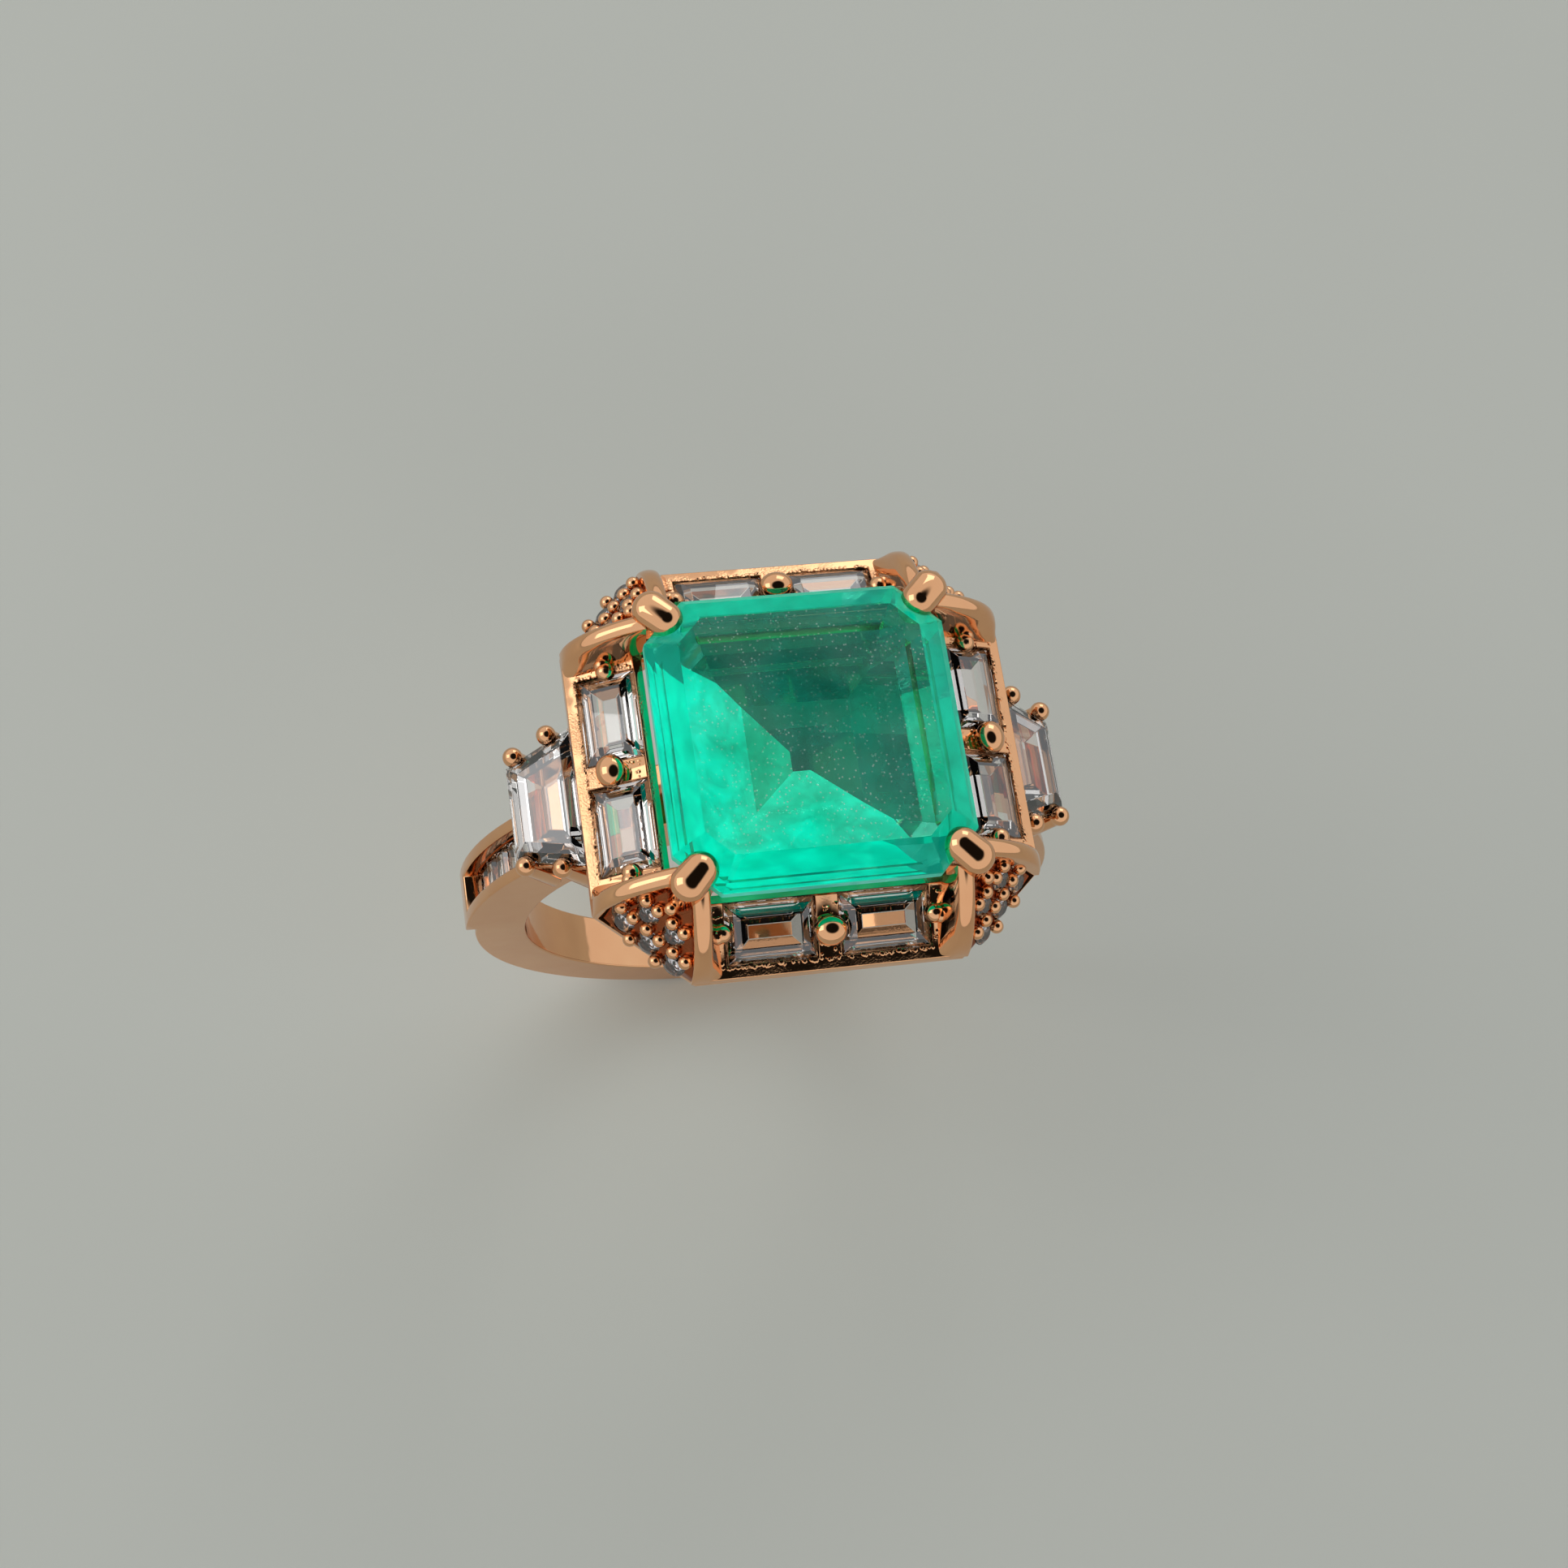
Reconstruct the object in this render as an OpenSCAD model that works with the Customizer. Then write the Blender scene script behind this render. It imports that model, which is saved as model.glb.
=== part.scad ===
// Engagement ring: a square step-cut centre stone in a sloping octagonal halo of baguettes,
// with trapezoid side stones and channel-set shoulders.
// Frame: origin on the finger axis at the middle of the band, +Z through the centre stone,
// +Y along the finger axis, +X towards the right shoulder. All sizes are in millimetres.

/* [Band] */
// Radius of the finger bore
bore_r = 8.65; // [7.2:0.05:10.5]
// Thickness of the plain band from the bore to its outer face
band_t = 1.85; // [1.4:0.05:2.3]
// Height of the raised shoulders above the plain band
shoulder_step = 0.35; // [0.1:0.05:0.6]
// Width of the band at the shoulders
band_w = 2.2; // [2:0.05:2.7]
// Width of the band at its lowest point
band_w_low = 1.8; // [1.4:0.05:2]
// Metal left between the bore and the flat under the centre basket
bridge_t = 0.95; // [0.7:0.05:1.3]

/* [Channel stones] */
// Number of channel stones on each shoulder
channel_count = 5; // [3:1:5]
// Angle of the lowest channel stone above the finger axis
channel_start = 8.7; // [7:0.1:10]
// Length of a channel stone around the band
channel_stone_l = 0.94; // [0.7:0.02:1]
// Gap between neighbouring channel stones
channel_stone_gap = 0.09; // [0.05:0.01:0.2]
// Length of a channel stone across the band
channel_stone_w = 1.38; // [1:0.02:1.5]
// Depth of the ledge that the channel stones rest on, below the shoulder face
channel_ledge_depth = 0.85; // [0.6:0.05:0.95]

/* [Centre stone] */
// Width of the centre stone across the finger
stone_w = 10; // [8:0.1:12]
// Length of the centre stone along the finger
stone_l = 10.1; // [8:0.1:12]
// Leg of the cut corners
stone_corner = 1.42; // [1:0.05:1.8]
// Thickness of the girdle
girdle_t = 0.4; // [0.2:0.05:0.6]
// Depth of the pavilion below the girdle
pavilion_h = 4; // [3.2:0.1:5]
// Height of the crown above the girdle
crown_h = 0.85; // [0.6:0.05:1.3]
// Clearance between the lowest facet of the stone and the band
culet_gap = 0.3; // [0.2:0.05:0.6]

/* [Halo tray] */
// Drop from the top of the girdle to the inner edge of the halo
halo_drop = 1.5; // [1.2:0.05:2]
// Slope of the halo sides below horizontal
halo_slope = 23.2; // [15:0.2:28]
// Gap in plan from the stone's left and right sides to the baguettes
halo_gap_x = 0.24; // [0.1:0.02:0.5]
// Overlap in plan of the stone's front and back sides on the baguettes
halo_lap_y = 0.11; // [0:0.01:0.3]
// Thickness of the thin inner wall
inner_wall_t = 0.3; // [0.2:0.02:0.4]
// Height of the inner wall above the baguettes' seats
inner_lip_h = 0.14; // [0:0.02:0.3]
// Width of the flat outer rim
rim_w = 0.41; // [0.3:0.01:0.7]
// Height of the vertical outer wall
outer_wall_h = 0.45; // [0.35:0.05:0.8]
// Thickness of the web that joins the sides at the corners
corner_web_t = 0.25; // [0.15:0.05:0.4]

/* [Baguettes] */
// Width of a baguette across the halo
baguette_w = 2.01; // [1.7:0.05:2.4]
// Gap between the two baguettes of one side
baguette_gap = 0.79; // [0.7:0.01:1]
// Room between a baguette and the corner claw's arm
end_room = 0.6; // [0.5:0.02:0.8]
// Radius of the large bead prong between two baguettes
mid_bead_r = 0.5; // [0.4:0.01:0.55]
// Radius of the small bead prong at the outer end of a baguette
end_bead_r = 0.28; // [0.2:0.01:0.3]

/* [Corner claws] */
// Distance from the stone's side to the middle of a claw arm
arm_inset = 0.72; // [0.6:0.02:0.8]
// Width of a claw arm
arm_w = 0.6; // [0.5:0.02:0.7]
// Distance from an arm's middle to the halo's corner
corner_overhang = 0.18; // [0:0.02:0.3]
// Radius of the claw over the stone's corner
claw_r = 0.56; // [0.45:0.01:0.6]
// Slope of the pave plate below horizontal
pave_slope = 57; // [50:1:60]
// Radius of a pave stone
pave_stone_r = 0.42; // [0.35:0.01:0.43]
// Distance between neighbouring pave stones
pave_pitch = 1.08; // [1:0.01:1.1]

/* [Side stones] */
// Length of a side stone down the shoulder
side_l = 2.95; // [2.6:0.05:3.3]
// Width of a side stone at its end near the halo
side_w_in = 5.1; // [4.4:0.1:5.6]
// Width of a side stone at its outer end
side_w_out = 3.3; // [2.8:0.1:3.8]
// Slope of a side stone below horizontal
side_tilt = 33; // [30:1:36]
// Height of a side stone's girdle above the shoulder face, measured square to the stone
side_rise = 2; // [1.9:0.02:2.6]
// Radius of a side basket's prong
side_prong_r = 0.27; // [0.2:0.01:0.3]
// Radius of the bead at the top of a side basket's prong
side_bead_r = 0.34; // [0.28:0.01:0.4]

/* [Hidden] */
$fn = 96;
fine = 32;
far = 40;
fit_gap = 0.02;

// Band and channel
plain_r = bore_r + band_t;
shoulder_r = plain_r + shoulder_step;
bridge_z = bore_r + bridge_t;
ledge_r = shoulder_r - channel_ledge_depth;
lip_r = ledge_r + 0.32;
channel_floor_r = ledge_r - 0.5;
channel_pitch = 2 * asin((channel_stone_l + channel_stone_gap) / 2 / ledge_r);
channel_end = channel_start + (channel_count - 0.5) * channel_pitch + 0.3;
channel_foot = channel_start - 0.5 * channel_pitch - 0.3;

// Centre stone
culet_z = bridge_z + culet_gap;
girdle_low = culet_z + pavilion_h;
girdle_top = girdle_low + girdle_t;
table_z = girdle_top + crown_h;
culet_inset = min(stone_w, stone_l) / 2 - 0.3;
corner_reach = (stone_w + stone_l) / 2 - stone_corner;

// Halo tray
halo_x = stone_w / 2 + halo_gap_x;
halo_y = stone_l / 2 - halo_lap_y;
halo_z = girdle_top - halo_drop;
halo_run = (baguette_w + rim_w) * cos(halo_slope);
rim_z = halo_z - (baguette_w + rim_w) * sin(halo_slope);
tray_low = rim_z - outer_wall_h;
web_top = tray_low + corner_web_t;
outer_x = halo_x + halo_run;
outer_y = halo_y + halo_run;

// Claw arms: the X arms run at y = arm_y, the Y arms run at x = arm_x
arm_x = stone_w / 2 - arm_inset;
arm_y = stone_l / 2 - arm_inset;
vertex_x = arm_x + corner_overhang;
vertex_y = arm_y + corner_overhang;
claw_z = girdle_top + 0.39;
claw_in = ([stone_w, stone_l] - [stone_corner, stone_corner]) / 2 - [0.07, 0.07];
claw_run = 0.53;
claw_out = claw_in + [claw_run, claw_run];
lug_top = halo_z + inner_lip_h - 0.12;

// Baguettes: the long side of each row is what the arms leave free
baguette_l_x = arm_x - arm_w / 2 - end_room - baguette_gap / 2;
baguette_l_y = arm_y - arm_w / 2 - end_room - baguette_gap / 2;
baguette_low = -0.25;
baguette_high = -0.1;

// Pave plate: a plane through the corner's lower edge, with y along that edge
pave_edge_z = web_top + 0.11;
pave_mid = [(outer_x + vertex_x) / 2, (outer_y + vertex_y) / 2];
pave_turn = atan2(outer_x - vertex_x, outer_y - vertex_y);
pave_row = 0.9;
pave_first = 0.34;
pave_places = [
    [pave_first, -pave_pitch],
    [pave_first, 0],
    [pave_first, pave_pitch],
    [pave_first + pave_row, -pave_pitch / 2],
    [pave_first + pave_row, pave_pitch / 2]
];

// Side stones: the stone's own z points square out of the shoulder
side_seat = (shoulder_r + side_rise) * [sin(side_tilt + 6.3), cos(side_tilt + 6.3)] + [0.1, 0];
side_taper = atan2((side_w_in - side_w_out) / 2, side_l);
side_mid_reach = (side_w_in + side_w_out) / 4 * cos(side_taper);
side_girdle_low = -0.15;
side_pavilion_h = 1.2;
side_base_top = side_girdle_low - side_pavilion_h - 0.12;
side_base_t = 0.4;
side_prong_x = [-0.26, side_l / 2 - 0.38];
rail_z = [-0.72, -0.3];

// Centre basket
seat_rail = [stone_w / 2 - 0.7, stone_l / 2 - 0.75];
seat_rail_t = 0.55;
seat_rail_z = [halo_z - 0.7, lug_top];
base_rail = 3.45;
base_rail_t = 0.6;
base_rail_h = 0.7;
post_r = 0.34;

// Metal colour and stone colours
gold = [0.8, 0.56, 0.42];
green = [0, 0.78, 0.6];
clear = [0.88, 0.9, 0.92];

corners = [["front_left", 1, 1], ["front_right", 0, 1], ["back_left", 1, 0], ["back_right", 0, 0]];
sides = [["right", 0], ["back", 90], ["left", 180], ["front", 270]];
shoulders = [["right", 0], ["left", 1]];

// ---- Stones ----

// A step-cut stone. cut_sides: [direction, distance] of each girdle edge.
// steps: [inset from the girdle edge, height], from the lowest facet up to the table.
module step_cut(cut_sides, steps) {
    low = steps[0][1];
    high = steps[len(steps) - 1][1];
    intersection_for (side = cut_sides)
        rotate([0, 0, side[0]])
            rotate([90, 0, 0])
                linear_extrude(far, center = true)
                    polygon(concat([for (p = steps) [side[1] - p[0], p[1]]], [[-far, high], [-far, low]]));
}

function rectangle_sides(along_x, along_y) =
    [[0, along_x / 2], [90, along_y / 2], [180, along_x / 2], [270, along_y / 2]];

module centre_stone() {
    color(green)
        step_cut(
            concat(
                rectangle_sides(stone_w, stone_l),
                [for (turn = [45:90:315]) [turn, corner_reach / sqrt(2)]]
            ),
            [
                [culet_inset, culet_z],
                [culet_inset * 0.68, culet_z + pavilion_h * 0.23],
                [culet_inset * 0.34, culet_z + pavilion_h * 0.57],
                [0, girdle_low],
                [0, girdle_top],
                [0.25, girdle_top + crown_h * 0.38],
                [1, table_z]
            ]
        );
}

// One baguette with its girdle about z = 0 and its long side along y
module baguette(length) {
    color(clear)
        step_cut(rectangle_sides(baguette_w, length), [
            [0.78, -0.85],
            [0.45, -0.65],
            [0, baguette_low],
            [0, baguette_high],
            [0.25, 0.1],
            [0.5, 0.2]
        ]);
}

module pave_stone() {
    color(clear)
        rotate_extrude($fn = fine)
            polygon([
                [0, -0.36],
                [pave_stone_r, -0.03],
                [pave_stone_r, 0.02],
                [pave_stone_r * 0.6, 0.14],
                [0, 0.14]
            ]);
}

module side_stone_shape() {
    step_cut(
        [
            [0, side_l / 2],
            [180, side_l / 2],
            [90 - side_taper, side_mid_reach],
            [side_taper - 90, side_mid_reach]
        ],
        [
            [1.2, side_girdle_low - side_pavilion_h],
            [0.65, side_girdle_low - side_pavilion_h * 0.7],
            [0, side_girdle_low],
            [0, 0],
            [0.3, 0.27],
            [0.62, 0.42]
        ]
    );
}

module channel_stone() {
    color(clear)
        step_cut(rectangle_sides(channel_stone_l, channel_stone_w), [
            [0.36, -0.42],
            [0.15, 0],
            [0, 0],
            [0, 0.12],
            [0.2, 0.25]
        ]);
}

// ---- Places ----

// One side of the halo: x down the slope from the baguettes' inner edge, y along the side
module on_halo_side(turn) {
    reach = turn % 180 == 0 ? halo_x : halo_y;
    rotate([0, 0, turn])
        translate([reach, 0, halo_z])
            rotate([0, halo_slope, 0])
                children();
}

module at_baguette(turn, k) {
    length = turn % 180 == 0 ? baguette_l_y : baguette_l_x;
    on_halo_side(turn)
        translate([baguette_w / 2, (k == 1 ? -1 : 1) * (baguette_gap + length) / 2, 0])
            children();
}

// One of the four corners, from the back right one
module at_corner(left, front) {
    mirror([left, 0, 0])
        mirror([0, front, 0])
            children();
}

// The pave plate's own plane: x up the slope from the lower edge, y along the edge
module on_pave_plate() {
    translate([pave_mid[0], pave_mid[1], pave_edge_z])
        rotate([0, 0, pave_turn + 180 + 90 - 2 * pave_turn])
            rotate([0, -pave_slope, 0])
                children();
}

module at_side_stone() {
    translate([side_seat[0], 0, side_seat[1]])
        rotate([0, side_tilt, 0])
            children();
}

module at_channel_stone(k) {
    rotate([0, -(channel_start + k * channel_pitch), 0])
        translate([ledge_r, 0, 0])
            rotate([0, 90, 0])
                children();
}

// ---- Band ----

// A ring about the finger axis between two radii and two angles above +X
module band_sector(inner_r, outer_r, width, from, to) {
    rotate([90, 0, 0])
        rotate([0, 0, from])
            rotate_extrude(angle = to - from)
                translate([inner_r, -width / 2])
                    square([outer_r - inner_r, width]);
}

module band_blank() {
    intersection() {
        union() {
            rotate([90, 0, 0])
                cylinder(r = plain_r, h = band_w, center = true);
            intersection() {
                rotate([90, 0, 0])
                    cylinder(r = shoulder_r, h = band_w, center = true);
                translate([-far / 2, -far / 2, 0])
                    cube(far);
            }
        }
        // The band narrows towards its lowest point
        rotate([90, 0, 90])
            linear_extrude(far, center = true)
                polygon([
                    [-band_w_low / 2, -plain_r],
                    [band_w_low / 2, -plain_r],
                    [band_w / 2, 0],
                    [band_w / 2, shoulder_r],
                    [-band_w / 2, shoulder_r],
                    [-band_w / 2, 0]
                ]);
        // Flat seat for the centre basket, with a cheek on each side
        union() {
            translate([-far / 2, -far / 2, bridge_z - far])
                cube(far);
            for (s = [-1, 1])
                translate([s * (base_rail + fit_gap + far / 2), 0, 0])
                    cube(far, center = true);
        }
    }
}

module channel_cut() {
    band_sector(channel_floor_r, shoulder_r + 1, channel_stone_w - 0.3, channel_foot, channel_end);
    band_sector(ledge_r, lip_r, channel_stone_w + 2 * fit_gap, channel_foot, channel_end);
    band_sector(lip_r - fit_gap, shoulder_r + 1, channel_stone_w - 0.06, channel_foot, channel_end);
}

module shank() {
    color(gold)
        difference() {
            band_blank();
            rotate([90, 0, 0])
                cylinder(r = bore_r, h = far, center = true);
            for (s = [0, 1])
                mirror([s, 0, 0])
                    channel_cut();
        }
}

// ---- Centre basket ----

module rectangular_ring(half, wall, z_low, z_high) {
    translate([0, 0, z_low])
        linear_extrude(z_high - z_low)
            difference() {
                square(2 * half, center = true);
                square(2 * [half[0] - wall, half[1] - wall], center = true);
            }
}

// A round bar between two points
module bar(from, to, radius) {
    run = to - from;
    translate(from)
        rotate([0, acos(run[2] / norm(run)), atan2(run[1], run[0])])
            cylinder(r = radius, h = norm(run), $fn = fine);
}

module centre_basket() {
    post_in = base_rail - base_rail_t / 2;
    lug = [halo_x - inner_wall_t, halo_y - inner_wall_t];
    color(gold)
        difference() {
            union() {
                rectangular_ring(seat_rail, seat_rail_t, seat_rail_z[0], seat_rail_z[1]);
                rectangular_ring([base_rail, base_rail], base_rail_t, bridge_z, bridge_z + base_rail_h);
                for (left = [0, 1])
                    for (front = [0, 1])
                        at_corner(left, front) {
                            bar(
                                [post_in, post_in, bridge_z + base_rail_h / 2],
                                [seat_rail[0] - post_r, seat_rail[1] - post_r, seat_rail_z[0] + 0.3],
                                post_r
                            );
                            // Lug that reaches the tray's inner corner and carries the claw
                            translate([seat_rail[0] - seat_rail_t, seat_rail[1] - seat_rail_t, seat_rail_z[0]])
                                cube([
                                    lug[0] - seat_rail[0] + seat_rail_t,
                                    lug[1] - seat_rail[1] + seat_rail_t,
                                    lug_top - seat_rail_z[0]
                                ]);
                        }
            }
            centre_stone();
        }
}

// ---- Halo tray ----

module halo_outline() {
    polygon([
        [outer_x, vertex_y],
        [vertex_x, outer_y],
        [-vertex_x, outer_y],
        [-outer_x, vertex_y],
        [-outer_x, -vertex_y],
        [-vertex_x, -outer_y],
        [vertex_x, -outer_y],
        [outer_x, -vertex_y]
    ]);
}

// One sloping side of the tray: reach is the inner edge, half is half its length
module tray_side(turn, reach, half) {
    rotate([0, 0, turn])
        rotate([90, 0, 0])
            linear_extrude(2 * half, center = true)
                polygon([
                    [reach - inner_wall_t, tray_low],
                    [reach + halo_run, tray_low],
                    [reach + halo_run, rim_z],
                    [reach, halo_z],
                    [reach, halo_z + inner_lip_h],
                    [reach - inner_wall_t, halo_z + inner_lip_h]
                ]);
}

module tray_blank() {
    half_x = arm_x - arm_w / 2;
    half_y = arm_y - arm_w / 2;
    for (turn = [0, 180])
        tray_side(turn, halo_x, half_y);
    for (turn = [90, 270])
        tray_side(turn, halo_y, half_x);
    rectangular_ring([halo_x, halo_y], inner_wall_t, tray_low, halo_z + inner_lip_h);
    difference() {
        translate([0, 0, tray_low])
            linear_extrude(corner_web_t)
                halo_outline();
        cube([2 * (halo_x - inner_wall_t), 2 * (halo_y - inner_wall_t), far], center = true);
    }
}

module baguette_seat(length) {
    // Straight pocket round the girdle
    translate([0, 0, baguette_low + 1])
        cube([baguette_w + 2 * fit_gap, length + 2 * fit_gap, 2], center = true);
    baguette(length);
    // Open back under the stone
    translate([0, 0, -1.2])
        cube([baguette_w - 0.7, length - 0.7, 2], center = true);
}

module mid_prong_shape() {
    translate([baguette_w * 0.56, 0, 0]) {
        intersection() {
            translate([0, 0, mid_bead_r * 0.66])
                sphere(r = mid_bead_r, $fn = fine);
            translate([0, 0, 1])
                cube(2, center = true);
        }
        translate([0, 0, -0.55])
            cylinder(r = 0.2, h = 0.6, $fn = fine);
    }
}

module halo_tray() {
    color(gold)
        difference() {
            union() {
                tray_blank();
                for (side = sides) {
                    length = side[1] % 180 == 0 ? baguette_l_y : baguette_l_x;
                    on_halo_side(side[1])
                        for (s = [-1, 1])
                            translate([baguette_w / 2, s * (baguette_gap / 2 + length + end_bead_r + 0.03), 0]) {
                                translate([0, 0, 0.12])
                                    sphere(r = end_bead_r, $fn = fine);
                                translate([0, 0, -0.2])
                                    cylinder(r = end_bead_r, h = 0.32, $fn = fine);
                            }
                }
            }
            for (side = sides) {
                length = side[1] % 180 == 0 ? baguette_l_y : baguette_l_x;
                for (k = [1, 2])
                    at_baguette(side[1], k)
                        baguette_seat(length);
                on_halo_side(side[1])
                    mid_prong_shape();
            }
        }
}

// ---- Corner claws ----

// Height of an arm's ridge at a share of its length, as a full convex curve
function ridge(share) = pow(max(0, 1 - pow(share, 1.35)), 0.44);

// Side view of an arm that ends at the halo's outer wall
module arm_profile(start, end) {
    top = claw_z + 0.32;
    count = 14;
    shares = [for (k = [0:count]) sin(90 * k / count)];
    polygon(concat(
        [[start, web_top]],
        [for (s = shares) [start + (end - start) * s, web_top + (top - web_top) * ridge(s)]]
    ));
}

module claw_arms() {
    translate([0, arm_y, 0])
        rotate([90, 0, 0])
            linear_extrude(arm_w, center = true)
                arm_profile(claw_in[0], outer_x);
    translate([arm_x, 0, 0])
        rotate([90, 0, 90])
            linear_extrude(arm_w, center = true)
                arm_profile(claw_in[1], outer_y);
}

module claw_tip() {
    middle = (claw_in + claw_out) / 2;
    bar([claw_in[0], claw_in[1], claw_z], [claw_out[0], claw_out[1], claw_z], claw_r);
    for (p = [claw_in, claw_out])
        translate([p[0], p[1], 0]) {
            translate([0, 0, claw_z])
                sphere(r = claw_r, $fn = fine);
            translate([0, 0, lug_top])
                cylinder(r = claw_r, h = claw_z - lug_top, $fn = fine);
        }
    translate([middle[0], middle[1], (lug_top + claw_z) / 2])
        rotate([0, 0, 45])
            cube([claw_run * sqrt(2), 2 * claw_r, claw_z - lug_top], center = true);
}

// Metal between the arms, below the pave plane
module pave_plate() {
    intersection() {
        translate([arm_x, arm_y, web_top])
            cube([far, far, table_z - web_top]);
        on_pave_plate()
            translate([-far / 2, -far / 2, -far])
                cube(far);
    }
}

module pave_beads() {
    for (row = [0, 1])
        for (k = [0:2 - row])
            for (s = [-1, 1])
                translate([
                    pave_first + pave_row * (row + 0.5),
                    (k - 1 + row / 2) * pave_pitch + s * pave_pitch * 0.22,
                    0.02
                ])
                    sphere(r = 0.18, $fn = 16);
}

module corner_claw() {
    color(gold)
        difference() {
            union() {
                intersection() {
                    translate([0, 0, web_top])
                        linear_extrude(far)
                            halo_outline();
                    union() {
                        claw_arms();
                        pave_plate();
                        on_pave_plate()
                            pave_beads();
                    }
                }
                claw_tip();
            }
            centre_stone();
            tray_blank();
            // Room for the centre basket's lug
            translate([0, 0, lug_top - far / 2])
                cube([2 * (halo_x - inner_wall_t), 2 * (halo_y - inner_wall_t), far], center = true);
            on_pave_plate()
                for (p = pave_places)
                    translate([p[0], p[1], 0]) {
                        pave_stone();
                        cylinder(r = pave_stone_r + fit_gap, h = 2, $fn = fine);
                        translate([0, 0, -0.7])
                            cylinder(r = 0.2, h = 1, $fn = fine);
                    }
        }
}

// ---- Side baskets ----

// Half of the side stone's width at a distance down the shoulder, grown by a margin
function side_half(x, grow) = (side_w_in + side_w_out) / 4 - x * tan(side_taper) + grow / cos(side_taper);

// The side stone's outline, grown by a margin
module side_outline(grow) {
    front = side_l / 2 + grow;
    polygon([
        [-front, -side_half(-front, grow)],
        [front, -side_half(front, grow)],
        [front, side_half(front, grow)],
        [-front, side_half(-front, grow)]
    ]);
}

module side_rail(grow, wall, z_low, z_high) {
    translate([0, 0, z_low])
        linear_extrude(z_high - z_low)
            difference() {
                side_outline(grow);
                side_outline(grow - wall);
            }
}

module side_basket_shape() {
    base_low = side_base_top - side_base_t;
    difference() {
        at_side_stone()
            difference() {
                union() {
                    side_rail(0.04, 0.5, rail_z[0], rail_z[1]);
                    side_rail(0.04, 0.5, base_low, side_base_top);
                    for (x = side_prong_x)
                        for (s = [-1, 1])
                            translate([x, s * side_half(x, 0.17), 0]) {
                                translate([0, 0, base_low])
                                    cylinder(r = side_prong_r, h = 0.12 - base_low, $fn = fine);
                                translate([0, 0, 0.12])
                                    sphere(r = side_bead_r, $fn = fine);
                            }
                    // Bridge across the base rail and the foot that stands on the shoulder
                    translate([-0.1, 0, side_base_top - side_base_t / 2])
                        cube([0.8, side_w_in - 1.2, side_base_t], center = true);
                    translate([-0.1, 0, side_base_top - 0.7])
                        cube([0.8, band_w - 0.4, 1.4], center = true);
                }
                side_stone_shape();
            }
        rotate([90, 0, 0])
            cylinder(r = shoulder_r, h = far, center = true);
    }
}

module side_basket(left) {
    color(gold)
        mirror([left, 0, 0])
            side_basket_shape();
}

module side_stone(left) {
    color(clear)
        mirror([left, 0, 0])
            at_side_stone()
                side_stone_shape();
}

module channel_stones(left) {
    mirror([left, 0, 0])
        for (k = [0:channel_count - 1])
            at_channel_stone(k)
                channel_stone();
}

module mid_prong(turn) {
    color(gold)
        on_halo_side(turn)
            mid_prong_shape();
}

shank();
centre_basket();
halo_tray();
centre_stone();
for (c = corners) {
    at_corner(c[1], c[2]) corner_claw();
    for (k = [1:len(pave_places)])
        at_corner(c[1], c[2]) on_pave_plate() translate(pave_places[k - 1]) pave_stone();
}
for (s = sides) {
    for (k = [1, 2])
        at_baguette(s[1], k) baguette(s[1] % 180 == 0 ? baguette_l_y : baguette_l_x);
    mid_prong(s[1]);
}
for (s = shoulders) {
    side_basket(s[1]);
    side_stone(s[1]);
    channel_stones(s[1]);
}
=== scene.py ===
"""Halo engagement ring in rose gold with a square step-cut green stone.

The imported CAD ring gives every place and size, and its stones are shown with their facet edges polished.
Each metal part is a softened casting of its CAD solid or a new piece built beside it with mesh operators.
Shapes are built in millimetres and scaled to metres when a piece is finished.
"""

import logging
import math
import random
from collections.abc import Callable, Sequence
from dataclasses import dataclass
from enum import Enum

import bmesh
import bpy
from mathutils import Matrix, Vector


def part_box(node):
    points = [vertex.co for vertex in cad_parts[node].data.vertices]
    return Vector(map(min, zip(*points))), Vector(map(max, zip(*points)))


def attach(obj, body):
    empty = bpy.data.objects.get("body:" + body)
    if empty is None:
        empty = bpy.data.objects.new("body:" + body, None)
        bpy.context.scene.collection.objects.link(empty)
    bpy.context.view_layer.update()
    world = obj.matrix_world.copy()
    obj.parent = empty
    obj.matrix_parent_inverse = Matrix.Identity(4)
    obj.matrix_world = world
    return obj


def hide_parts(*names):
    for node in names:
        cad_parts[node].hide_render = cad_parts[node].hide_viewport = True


LOG = logging.getLogger("ring")
MM = 0.001
BODY = "root"

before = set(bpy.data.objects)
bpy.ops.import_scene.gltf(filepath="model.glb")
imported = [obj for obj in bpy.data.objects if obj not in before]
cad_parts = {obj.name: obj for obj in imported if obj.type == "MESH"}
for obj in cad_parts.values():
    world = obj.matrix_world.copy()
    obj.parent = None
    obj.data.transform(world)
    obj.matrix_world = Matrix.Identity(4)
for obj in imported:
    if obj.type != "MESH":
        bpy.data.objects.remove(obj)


class Corner(Enum):
    """The four corners of the head, with the signs of their X and Y."""

    FRONT_LEFT = ("front_left", -1, -1)
    FRONT_RIGHT = ("front_right", 1, -1)
    BACK_LEFT = ("back_left", -1, 1)
    BACK_RIGHT = ("back_right", 1, 1)


class HaloSide(Enum):
    """The four sides of the halo, with their turn about the stone's axis in degrees."""

    RIGHT = ("right", 0)
    BACK = ("back", 90)
    LEFT = ("left", 180)
    FRONT = ("front", 270)


class Shoulder(Enum):
    """The two shoulders of the band."""

    RIGHT = "right"
    LEFT = "left"


# ---- Small tools ----


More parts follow.
